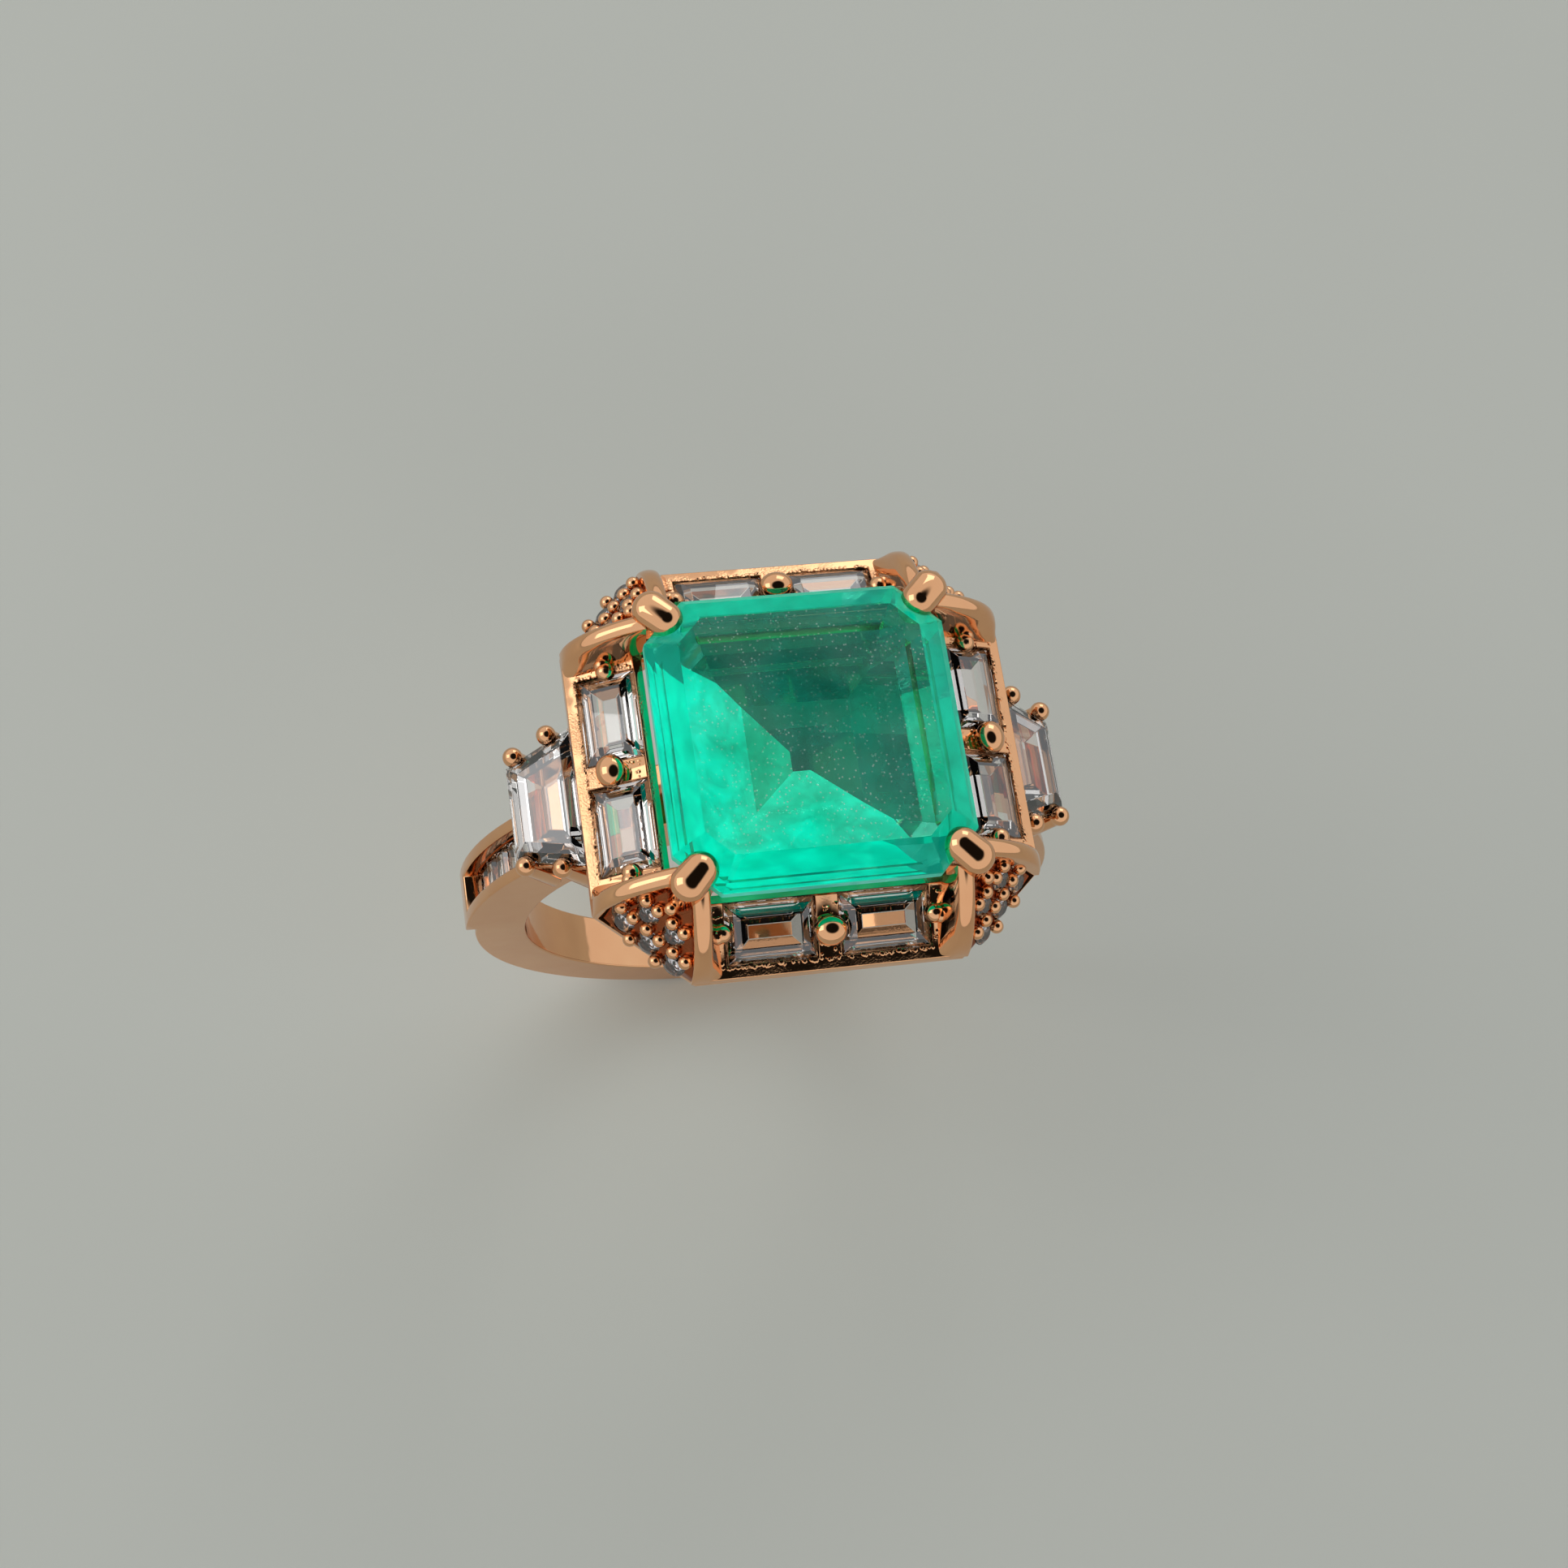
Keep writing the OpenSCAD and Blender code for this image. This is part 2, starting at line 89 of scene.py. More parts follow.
def linear(hex_colour: str) -> tuple[float, float, float, float]:
    """Turn an sRGB hex colour into a linear one.

    Args:
        hex_colour: Six hex digits after a hash sign.

    Returns:
        Red, green, blue and an alpha of one.
    """
    values = [int(hex_colour[i : i + 2], 16) / 255 for i in (1, 3, 5)]
    parts = [v / 12.92 if v <= 0.04045 else ((v + 0.055) / 1.055) ** 2.4 for v in values]
    return (parts[0], parts[1], parts[2], 1.0)


def per_mm(size: float) -> float:
    """Return the pattern scale, per metre, whose features are size millimetres across."""
    return 1 / (size * MM)


def add_node(
    tree: bpy.types.NodeTree,
    kind: str,
    settings: dict[str | int, object] | None = None,
    links: dict[str | int, bpy.types.NodeSocket] | None = None,
) -> bpy.types.Node:
    """Add a shader node with its settings and incoming links.

    Args:
        tree: The node tree that gets the node.
        kind: The node's type name.
        settings: Input values by socket name or number, or the node's own attributes by name.
        links: Output sockets by the name or number of the input that they feed.

    Returns:
        The new node.
    """
    node = tree.nodes.new(kind)
    for key, value in (settings or {}).items():
        if isinstance(key, str) and key not in node.inputs:
            setattr(node, key, value)
    for key, value in (settings or {}).items():
        if isinstance(key, int) or key in node.inputs:
            node.inputs[key].default_value = value
    for key, socket in (links or {}).items():
        tree.links.new(socket, node.inputs[key])
    return node


def new_material(
    name: str,
) -> tuple[bpy.types.Material, bpy.types.NodeTree, bpy.types.Node, bpy.types.NodeSocket]:
    """Start a node material.

    Args:
        name: The finish's name.

    Returns:
        The material, its empty tree, its output node and the object coordinates.
    """
    material = bpy.data.materials.new(name)
    material.use_nodes = True
    tree = material.node_tree
    tree.nodes.clear()
    output = add_node(tree, "ShaderNodeOutputMaterial")
    place = add_node(tree, "ShaderNodeTexCoord").outputs["Object"]
    return material, tree, output, place


def box_mm(node: str) -> tuple[Vector, Vector]:
    """Return a CAD node's lowest and highest corners in millimetres."""
    low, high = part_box(node)
    return low / MM, high / MM


def merge(shape: bmesh.types.BMesh, near: float = 0.002, thin: float = 0.002) -> None:
    """Join doubled points and take out slivers.

    Args:
        shape: The mesh to change.
        near: Points nearer to each other than this, in millimetres, become one.
        thin: Faces thinner than this are taken out.
    """
    bmesh.ops.remove_doubles(shape, verts=shape.verts, dist=near)
    bmesh.ops.dissolve_degenerate(shape, edges=shape.edges, dist=thin)


def cut_away(shape: bmesh.types.BMesh, point: Vector, normal: Vector, snap: float) -> None:
    """Cut a shape along a plane and keep the side that the normal points to.

    Args:
        shape: The shape to cut, which is left open.
        point: A point on the plane.
        normal: The plane's direction.
        snap: Points nearer to the plane than this, in millimetres, count as on it.
    """
    everything = shape.verts[:] + shape.edges[:] + shape.faces[:]
    bmesh.ops.bisect_plane(
        shape, geom=everything, plane_co=point, plane_no=normal, clear_inner=True, dist=snap
    )


def close_holes(shape: bmesh.types.BMesh) -> None:
    """Close every open loop of edges with a face."""
    bmesh.ops.holes_fill(shape, edges=[e for e in shape.edges if e.is_boundary], sides=0)


def copy_of(node: str) -> bmesh.types.BMesh:
    """Copy a CAD node's mesh and join its loose triangles into clean faces.

    Args:
        node: The CAD node's name.

    Returns:
        The merged copy, in millimetres.
    """
    shape = bmesh.new()
    shape.from_mesh(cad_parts[node].data)
    bmesh.ops.scale(shape, vec=Vector((1, 1, 1)) / MM, verts=shape.verts)
    merge(shape)
    bmesh.ops.join_triangles(
        shape,
        faces=shape.faces,
        angle_face_threshold=math.radians(1),
        angle_shape_threshold=math.radians(180),
    )
    return shape


def stone_copy(node: str) -> bmesh.types.BMesh:
    """Copy a stone so that each facet is one face.

    Args:
        node: The CAD node's name.

    Returns:
        The merged copy, in millimetres.
    """
    shape = copy_of(node)
    bmesh.ops.dissolve_limit(shape, angle_limit=math.radians(0.5), verts=shape.verts, edges=shape.edges)
    return shape


def soften(
    shape: bmesh.types.BMesh,
    width: float,
    crease: float = 28.0,
    segments: int = 3,
    chosen: Callable[[bmesh.types.BMEdge], bool] | None = None,
) -> None:
    """Round the crisp edges, as polishing does.

    Args:
        shape: The closed mesh to change.
        width: The rounding's width in millimetres.
        crease: The smallest angle between faces, in degrees, that counts as an edge.
        segments: How many strips make the rounding.
        chosen: Says which of the crisp edges are rounded, or None for all of them.
    """
    limit = math.radians(crease)
    edges = [e for e in shape.edges if e.is_manifold and e.calc_face_angle(0) > limit]
    if chosen is not None:
        edges = [e for e in edges if chosen(e)]
    bmesh.ops.bevel(
        shape,
        geom=edges,
        offset=width,
        offset_type="OFFSET",
        affect="EDGES",
        segments=segments,
        profile=0.5,
        material=-1,
        clamp_overlap=False,
        loop_slide=True,
    )
    merge(shape, thin=0.001)


def join(target: bmesh.types.BMesh, part: bmesh.types.BMesh) -> None:
    """Move every face of one mesh into another.

    Args:
        target: The mesh that gets the faces.
        part: The mesh that gives them, which is freed.
    """
    carrier = bpy.data.meshes.new("carrier")
    part.to_mesh(carrier)
    part.free()
    target.from_mesh(carrier)
    bpy.data.meshes.remove(carrier)


def finish_piece(
    shape: bmesh.types.BMesh,
    name: str,
    material: bpy.types.Material,
    replaced: Sequence[str] = (),
    smooth_below: float | None = 40.0,
) -> bpy.types.Object:
    """Make a finished piece from a shape in millimetres.

    Args:
        shape: The closed shape, which is freed.
        name: The piece's name.
        material: Its finish.
        replaced: The CAD nodes that the piece stands for.
        smooth_below: Edges flatter than this, in degrees, are shaded smooth, or None for flat facets.

    Returns:
        The object, riding on the ring.
    """
    bmesh.ops.scale(shape, vec=Vector((1, 1, 1)) * MM, verts=shape.verts)
    bmesh.ops.recalc_face_normals(shape, faces=shape.faces)
    mesh = bpy.data.meshes.new(name)
    shape.to_mesh(mesh)
    shape.free()
    mesh.materials.append(material)
    if "custom_normal" in mesh.attributes:
        # Left over from the CAD solid's loose triangles
        mesh.attributes.remove(mesh.attributes["custom_normal"])
    if smooth_below is None:
        mesh.shade_flat()
    else:
        mesh.shade_smooth()
        mesh.set_sharp_from_angle(angle=math.radians(smooth_below))
    piece = bpy.data.objects.new(name, mesh)
    bpy.context.scene.collection.objects.link(piece)
    if smooth_below is not None:
        # Keeps broad faces flat beside their rounded edges
        weighted = piece.modifiers.new("face_weights", "WEIGHTED_NORMAL")
        weighted.keep_sharp = True
    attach(piece, BODY)
    if replaced:
        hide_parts(*replaced)
    LOG.info("%s: %d faces, in place of %d nodes", name, len(mesh.polygons), len(replaced))
    return piece


# ---- Finishes ----


@dataclass(frozen=True)
class RoseGold:
    """Polished rose gold casting: a warm mirror with a faint ripple left by the buff.

    Args:
        name: The finish's name.
        colour: The alloy's colour seen straight on.
        deep_colour: The redder colour in its clouds.
        roughness: The polished faces' roughness.
        ripple_height: The height of the buff's ripple, in millimetres.
        grain_height: The casting grain's height.
        cloud_mm: Size of the alloy's clouds of colour.
        ripple_mm: Length of the buff's ripple.
        rub_mm: Spacing of the buff's fine rub marks.
        grit_mm: Size of the grains that investment grit prints into cast skin.
        patch_mm: Size of the patches that the buff missed.
    """

    name: str
    colour: str = "#F0BA8B"
    deep_colour: str = "#E4A678"
    roughness: float = 0.07
    ripple_height: float = 0.006
    grain_height: float = 0.0
    cloud_mm: float = 1.6
    ripple_mm: float = 0.8
    rub_mm: float = 0.1
    grit_mm: float = 0.07
    patch_mm: float = 1.3

    def material(self) -> bpy.types.Material:
        """Build the finish.

        Returns:
            Its node material.
        """
        material, tree, output, place = new_material(self.name)
        clouds = add_node(
            tree, "ShaderNodeTexNoise", {"Scale": per_mm(self.cloud_mm), "Detail": 3.0}, {"Vector": place}
        ).outputs["Fac"]
        colour = add_node(
            tree,
            "ShaderNodeMix",
            {"data_type": "RGBA", 6: linear(self.colour), 7: linear(self.deep_colour)},
            {0: clouds},
        ).outputs[2]
        # Rub marks blur the mirror unevenly, so its highlights have soft edges
        rub = add_node(
            tree, "ShaderNodeTexNoise", {"Scale": per_mm(self.rub_mm), "Detail": 2.0}, {"Vector": place}
        ).outputs["Fac"]
        roughness = add_node(
            tree,
            "ShaderNodeMapRange",
            {"To Min": self.roughness * 0.6, "To Max": self.roughness * 1.5},
            {"Value": rub},
        ).outputs[0]
        # The ripple bends reflections gently, as on a hand-buffed casting
        ripple = add_node(
            tree, "ShaderNodeTexNoise", {"Scale": per_mm(self.ripple_mm), "Detail": 1.0}, {"Vector": place}
        ).outputs["Fac"]
        relief = add_node(
            tree, "ShaderNodeBump", {"Strength": 1.0, "Distance": self.ripple_height * MM}, {"Height": ripple}
        )
        if self.grain_height:
            # Grains sparkle in the patches that the buff missed
            grit = add_node(
                tree, "ShaderNodeTexNoise", {"Scale": per_mm(self.grit_mm), "Detail": 3.0}, {"Vector": place}
            ).outputs["Fac"]
            patches = add_node(
                tree, "ShaderNodeTexNoise", {"Scale": per_mm(self.patch_mm), "Detail": 2.0}, {"Vector": place}
            ).outputs["Fac"]
            unbuffed = add_node(
                tree, "ShaderNodeMapRange", {"From Min": 0.42, "From Max": 0.58}, {"Value": patches}
            ).outputs[0]
            relief = add_node(
                tree,
                "ShaderNodeBump",
                {"Distance": self.grain_height * MM},
                {"Height": grit, "Strength": unbuffed, "Normal": relief.outputs[0]},
            )
        surface = add_node(
            tree,
            "ShaderNodeBsdfPrincipled",
            {"Metallic": 1.0},
            {"Base Color": colour, "Roughness": roughness, "Normal": relief.outputs[0]},
        )
        tree.links.new(surface.outputs[0], output.inputs["Surface"])
        return material


class BerylFace(Enum):
    """The groups of facets on the green stone, with painted lit and painted shaded copies of the pavilion's
    finish.

    Each has its name, its veiled share, its painted glow, its bright and cloudy colours, and the tint of its
    shine.
    """

    TABLE = ("beryl_table", 0.04, 0.1, "#00E6C4", "#00C0A4", "#A8BDB8")
    CROWN = ("beryl_crown", 0.24, 0.46, "#00E6C4", "#00CCAA", "#3C7A6C")
    GIRDLE = ("beryl_girdle", 0.7, 0.12, "#7CEBD6", "#4FD6BC", "#A8BDB8")
    LIT_PAVILION = ("beryl_pavilion_lit", 0.85, 0.86, "#00F0D6", "#00C2A4", "#4FA08F")
    LIT_KEEL = ("beryl_keel_painted_light", 0.8, 0.6, "#10DCBC", "#00B494", "#4FA08F")
    SHADED_PAVILION = ("beryl_pavilion_painted_shade", 0.5, 0.14, "#38B8BC", "#208C8A", "#4FA08F")


@dataclass(frozen=True)
class Beryl:
    """Step-cut green beryl: clear facets over a softly clouded body with a painted mint glow where light
    would gather.

    Args:
        face: The group of facets.
        colour: The body colour.
        facet_colour: The facets' own pale tint.
        dust_colour: The dust's colour.
        ior: Beryl's refractive index.
        density: How strongly the body takes up light, per metre.
        veil_mm: Size of the veils in the body, drawn as coarse as they need to show.
        streak_mm: Size of the streaks in the painted glow, drawn as coarse too.
        dust_mm: Spacing of the dust specks on the table, drawn as coarse too.
        drift_mm: Size of the drifts that the dust lies in.
    """

    face: BerylFace
    colour: str = "#08F4DC"
    facet_colour: str = "#C8FFF6"
    dust_colour: str = "#DDEEE6"
    ior: float = 1.577
    density: float = 140.0
    veil_mm: float = 2.4
    streak_mm: float = 1.1
    dust_mm: float = 0.15
    drift_mm: float = 3.0

    def material(self) -> bpy.types.Material:
        """Build the finish.

        Returns:
            Its node material.
        """
        name, veil, painted_glow, bright, cloudy, shine = self.face.value
        material, tree, output, place = new_material(name)
        glass = add_node(
            tree,
            "ShaderNodeBsdfPrincipled",
            {
                "Base Color": linear(self.facet_colour),
                "Transmission Weight": 1.0,
                "Roughness": 0.0,
                "IOR": self.ior,
                "Specular Tint": linear(shine),
            },
        )
        # Veils make the body cloudy in places, so it isn't one even green
        veils = add_node(
            tree,
            "ShaderNodeTexNoise",
            {"Scale": per_mm(self.veil_mm), "Detail": 6.0, "Distortion": 0.4},
            {"Vector": place},
        ).outputs["Fac"]
        shares = add_node(
            tree, "ShaderNodeMapRange", {"From Min": 0.35, "From Max": 0.65}, {"Value": veils}
        ).outputs[0]
        clouds = add_node(
            tree,
            "ShaderNodeMix",
            {"data_type": "RGBA", 6: linear(bright), 7: linear(cloudy)},
            {0: shares},
        ).outputs[2]
        # Streaks of noise make the painted glow uneven, as trapped light is in a clouded stone
        streaks = add_node(
            tree,
            "ShaderNodeTexNoise",
            {"Scale": per_mm(self.streak_mm), "Detail": 7.0, "Distortion": 1.4},
            {"Vector": place},
        ).outputs["Fac"]
        painted_glow_strength = add_node(
            tree,
            "ShaderNodeMapRange",
            {"From Min": 0.38, "From Max": 0.62, "To Min": painted_glow * 0.72, "To Max": painted_glow * 1.12},
            {"Value": streaks},
        ).outputs[0]
        # The body's emission is painted light: a mint glow that stands in for light gathered in the stone
        body = add_node(
            tree,
            "ShaderNodeBsdfPrincipled",
            {"Roughness": 0.6, "Specular IOR Level": 0.0},
            {"Base Color": clouds, "Emission Color": clouds, "Emission Strength": painted_glow_strength},
        )
        surface = add_node(tree, "ShaderNodeMixShader", {0: veil}, {1: glass.outputs[0], 2: body.outputs[0]})
        if self.face is BerylFace.TABLE:
            surface = self._dusted(tree, place, surface)
        depth = add_node(
            tree, "ShaderNodeVolumeAbsorption", {"Color": linear(self.colour), "Density": self.density}
        )
        tree.links.new(surface.outputs[0], output.inputs["Surface"])
        tree.links.new(depth.outputs[0], output.inputs["Volume"])
        return material

    def _dusted(
        self, tree: bpy.types.NodeTree, place: bpy.types.NodeSocket, surface: bpy.types.Node
    ) -> bpy.types.Node:
        """Scatter pale dust specks on the polished table.

        Args:
            tree: The material's tree.
            place: The object coordinates.
            surface: The clean surface.

        Returns:
            The dusted surface.
        """
        nearest = add_node(
            tree,
            "ShaderNodeTexVoronoi",
            {"Scale": per_mm(self.dust_mm), "Randomness": 1.0},
            {"Vector": place},
        ).outputs["Distance"]
        specks = add_node(
            tree,
            "ShaderNodeMapRange",
            {"From Min": 0.3, "From Max": 0.1, "To Min": 0.06, "To Max": 0.36},
            {"Value": nearest},
        ).outputs[0]
        drifts = add_node(
            tree, "ShaderNodeTexNoise", {"Scale": per_mm(self.drift_mm), "Detail": 3.0}, {"Vector": place}
        )
        cover = add_node(
            tree,
            "ShaderNodeMapRange",
            {"From Min": 0.35, "From Max": 0.6, "To Min": 0.15},
            {"Value": drifts.outputs["Fac"]},
        ).outputs[0]
        dusty = add_node(tree, "ShaderNodeMath", {"operation": "MULTIPLY"}, {0: specks, 1: cover}).outputs[0]
        dust = add_node(tree, "ShaderNodeBsdfDiffuse", {"Color": linear(self.dust_colour)})
        return add_node(
            tree, "ShaderNodeMixShader", links={0: dusty, 1: surface.outputs[0], 2: dust.outputs[0]}
        )


@dataclass(frozen=True)
class Zirconia:
    """Cubic zirconia: hard white flashes and dark steps from its high index.

    Args:
        name: The finish's name.
        colour: The stone's faint body colour.
        ior: Cubic zirconia's refractive index.
        haze: The polishing haze's highest roughness.
        haze_mm: Size of its patches.
    """

    name: str
    colour: str = "#EEE9E5"
    ior: float = 2.15
    haze: float = 0.02
    haze_mm: float = 0.5

    def material(self) -> bpy.types.Material:
        """Build the finish.

        Returns:
            Its node material.
        """
        material, tree, output, place = new_material(self.name)
        # Patches of polishing haze keep the flashes from being equally hard everywhere
        haze = add_node(
            tree, "ShaderNodeTexNoise", {"Scale": per_mm(self.haze_mm), "Detail": 2.0}, {"Vector": place}
        ).outputs["Fac"]
        roughness = add_node(
            tree, "ShaderNodeMapRange", {"To Min": 0.0, "To Max": self.haze}, {"Value": haze}
        ).outputs[0]
        glass = add_node(
            tree,
            "ShaderNodeBsdfPrincipled",
            {"Base Color": linear(self.colour), "Transmission Weight": 1.0, "IOR": self.ior},
            {"Roughness": roughness},
        )
        tree.links.new(glass.outputs[0], output.inputs["Surface"])
        return material


# ---- Places ----


@dataclass(frozen=True)
class HeadPlan:
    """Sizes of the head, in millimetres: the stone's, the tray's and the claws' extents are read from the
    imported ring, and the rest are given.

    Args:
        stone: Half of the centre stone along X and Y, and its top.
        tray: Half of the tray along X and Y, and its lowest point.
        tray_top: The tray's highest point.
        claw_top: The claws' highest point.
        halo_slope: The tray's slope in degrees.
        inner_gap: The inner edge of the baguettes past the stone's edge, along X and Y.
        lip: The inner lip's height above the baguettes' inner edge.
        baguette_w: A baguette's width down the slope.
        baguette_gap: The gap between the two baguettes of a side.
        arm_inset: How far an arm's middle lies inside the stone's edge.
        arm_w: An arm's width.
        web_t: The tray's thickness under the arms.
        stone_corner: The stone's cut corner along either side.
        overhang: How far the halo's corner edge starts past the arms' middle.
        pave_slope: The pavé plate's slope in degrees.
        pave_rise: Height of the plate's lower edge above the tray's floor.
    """

    stone: Vector
    tray: Vector
    tray_top: float
    claw_top: float
    halo_slope: float = 23.2
    inner_gap: tuple[float, float] = (0.24, -0.11)
    lip: float = 0.14
    baguette_w: float = 2.01
    baguette_gap: float = 0.79
    arm_inset: float = 0.72
    arm_w: float = 0.6
    web_t: float = 0.25
    stone_corner: float = 1.42
    overhang: float = 0.18
    pave_slope: float = 57.0
    pave_rise: float = 0.11

    @classmethod
    def from_frame(cls) -> "HeadPlan":
        """Read the head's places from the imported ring.

        Returns:
            The plan, in millimetres.
        """
        stone = box_mm("centre_stone")[1]
        tray_low, tray_high = box_mm("halo_tray")
        claw_top = box_mm("claw_back_right")[1].z
        return cls(
            stone=stone,
            tray=Vector((tray_high.x, tray_high.y, tray_low.z)),
            tray_top=tray_high.z,
            claw_top=claw_top,
        )

    @property
    def web_top(self) -> float:
        """Top of the tray's floor at the corners."""
        return self.tray.z + self.web_t

    @property
    def arm(self) -> tuple[float, float]:
        """Middle of the arms along Y, as an X, and of the arms along X, as a Y."""
        return (self.stone.x - self.arm_inset, self.stone.y - self.arm_inset)

    def side_place(self, side: HaloSide) -> Matrix:
        """Give the place of one side of the halo.

        Args:
            side: The side.

        Returns:
            The matrix from X down the slope, Y along the side and Z square to it.
        """
        turn = side.value[1]
        along_x = turn % 180 == 0
        reach = self.stone.x + self.inner_gap[0] if along_x else self.stone.y + self.inner_gap[1]
        return (
            Matrix.Rotation(math.radians(turn), 4, "Z")
            @ Matrix.Translation((reach, 0, self.tray_top - self.lip))
            @ Matrix.Rotation(math.radians(self.halo_slope), 4, "Y")
        )

    def pave_place(self) -> Matrix:
        """Give the pavé plate's place at the back right corner.

        Returns:
            The matrix from X up the plate's slope, Y along its lower edge and Z square to it.
        """
        vertex = [middle + self.overhang for middle in self.arm]
        rise = self.web_top + self.pave_rise
        edge = Vector(((self.tray.x + vertex[0]) / 2, (self.tray.y + vertex[1]) / 2, rise))
        turn = math.atan2(self.tray.x - vertex[0], self.tray.y - vertex[1])
        return (
            Matrix.Translation(edge)
            @ Matrix.Rotation(math.radians(270) - turn, 4, "Z")
            @ Matrix.Rotation(math.radians(-self.pave_slope), 4, "Y")
        )

    def corner_place(self, corner: Corner) -> Matrix:
        """Give the mirror matrix from the back right corner to another one."""
        _, x_sign, y_sign = corner.value
        return Matrix.Diagonal((x_sign, y_sign, 1, 1))


# ---- Metal parts ----


@dataclass
class Shank:
    """The finger band with its raised shoulders and stone channels.

    Args:
        metal: The band's finish.
        edge: Width of its polished edges, in millimetres.
    """

    metal: bpy.types.Material
    edge: float = 0.07

    def build(self) -> None:
        """Make the band as one softened casting."""
        shape = copy_of("shank")
        soften(shape, self.edge)
        finish_piece(shape, "shank_casting", self.metal, ["shank"])


@dataclass
class Gallery:
    """The centre basket under the green stone.

    Args:
        metal: Its finish.
        edge: Width of its polished edges, in millimetres.
    """

    metal: bpy.types.Material
    edge: float = 0.06

    def build(self) -> None:
        """Make the basket as one softened casting."""
        shape = copy_of("centre_basket")
        soften(shape, self.edge)
        finish_piece(shape, "centre_basket_casting", self.metal, ["centre_basket"])


@dataclass
class HaloTray:
    """The sloping tray round the green stone, with its seats, rims and cast skin.

    Args:
        plan: The head's places.
        metal: Its finish.
        edge: Width of its polished edges, in millimetres.
        row_half: Half of a row of two baguettes.
        end_half: Where a row's end room meets the claws' arms.
        grain_r: Smallest and largest casting grain.
        grain_seed: Seed of the grains' places.
        grain_start: Where the grains start down the slope.
        grain_margin: How far they stay from the baguettes' ends and from their outer edge.
        gap_margin: How far they stay from the seats' walls between two baguettes.
        patch_grains: How many grains lie between two baguettes, or at a row's end.
        rim_grains: How many grains lie along the outer rim's inner edge.
        rim_band: Where those start and end, past the baguettes' outer edge.
        end_bead_r: Radius of the bead that holds a row's end.
        end_bead_share: Where it stands, as a share of the baguettes' width down the slope.
        end_bead_rise: Its middle above the slope.
    """

    plan: HeadPlan
    metal: bpy.types.Material
    edge: float = 0.035
    row_half: float = 3.4
    end_half: float = 3.95
    grain_r: tuple[float, float] = (0.03, 0.085)
    grain_seed: int = 7
    grain_start: float = 0.1
    grain_margin: float = 0.05
    gap_margin: float = 0.07
    patch_grains: int = 26
    rim_grains: int = 110
    rim_band: tuple[float, float] = (0.03, 0.1)
    end_bead_r: float = 0.33
    end_bead_share: float = 0.46
    end_bead_rise: float = 0.1

    def _grains(
        self, area: tuple[float, float, float, float], count: int, dice: random.Random
    ) -> bmesh.types.BMesh:
        """Scatter casting grains over a patch of one side.

        Args:
            area: Lowest and highest place down the slope, then lowest and highest along the side.
            count: How many grains.
            dice: The seeded source of places.

        Returns:
            The grains, in the side's own frame.
        """
        shape = bmesh.new()
        for _ in range(count):
            radius = dice.uniform(*self.grain_r)
            place = (dice.uniform(*area[:2]), dice.uniform(*area[2:]), 0)
            stretch = (dice.uniform(0.8, 1.4), dice.uniform(0.8, 1.4), dice.uniform(0.5, 0.9), 1)
            where = Matrix.Translation(place) @ Matrix.Diagonal(stretch)
            bmesh.ops.create_icosphere(shape, subdivisions=1, radius=radius, matrix=where)
        return shape

    def _grain_areas(self) -> list[tuple[tuple[float, float, float, float], int]]:
        """List one side's grainy patches.

        Returns:
            Each patch's area, as _grains takes it, with its number of grains.
        """
        width = self.plan.baguette_w
        gap = self.plan.baguette_gap / 2 - self.gap_margin
        patches = [((self.grain_start, width - self.grain_margin, -gap, gap), self.patch_grains)]
        for sign in (-1, 1):
            low, high = sorted((sign * (self.row_half + self.grain_margin), sign * self.end_half))
            patches.append(((self.grain_start, width + self.rim_band[1], low, high), self.patch_grains))
        rim = (width + self.rim_band[0], width + self.rim_band[1], -self.row_half, self.row_half)
        return [*patches, (rim, self.rim_grains)]

    def _end_beads(self, place: Matrix) -> bmesh.types.BMesh:
        """Raise the beads that hold the two ends of a row.

        Args:
            place: The side's place.

        Returns:
            The two beads.
        """
        shape = bmesh.new()
        middle = self.row_half + self.end_bead_r * 0.3
        down = self.plan.baguette_w * self.end_bead_share
        for sign in (-1, 1):
            bmesh.ops.create_uvsphere(
                shape,
                u_segments=32,
                v_segments=16,
                radius=self.end_bead_r,
                matrix=place @ Matrix.Translation((down, sign * middle, self.end_bead_rise)),
            )
        return shape

    def build(self) -> None:
        """Make the tray as one softened casting with rough grains left between its seats."""
        plan = self.plan
        shape = copy_of("halo_tray")
        soften(shape, self.edge, segments=2)
        dice = random.Random(self.grain_seed)
        for side in HaloSide:
            place = plan.side_place(side)
            join(shape, self._end_beads(place))
            for area, count in self._grain_areas():
                grains = self._grains(area, count, dice)
                bmesh.ops.transform(grains, matrix=place, verts=grains.verts)
                join(shape, grains)
        finish_piece(shape, "halo_tray_casting", self.metal, ["halo_tray"])


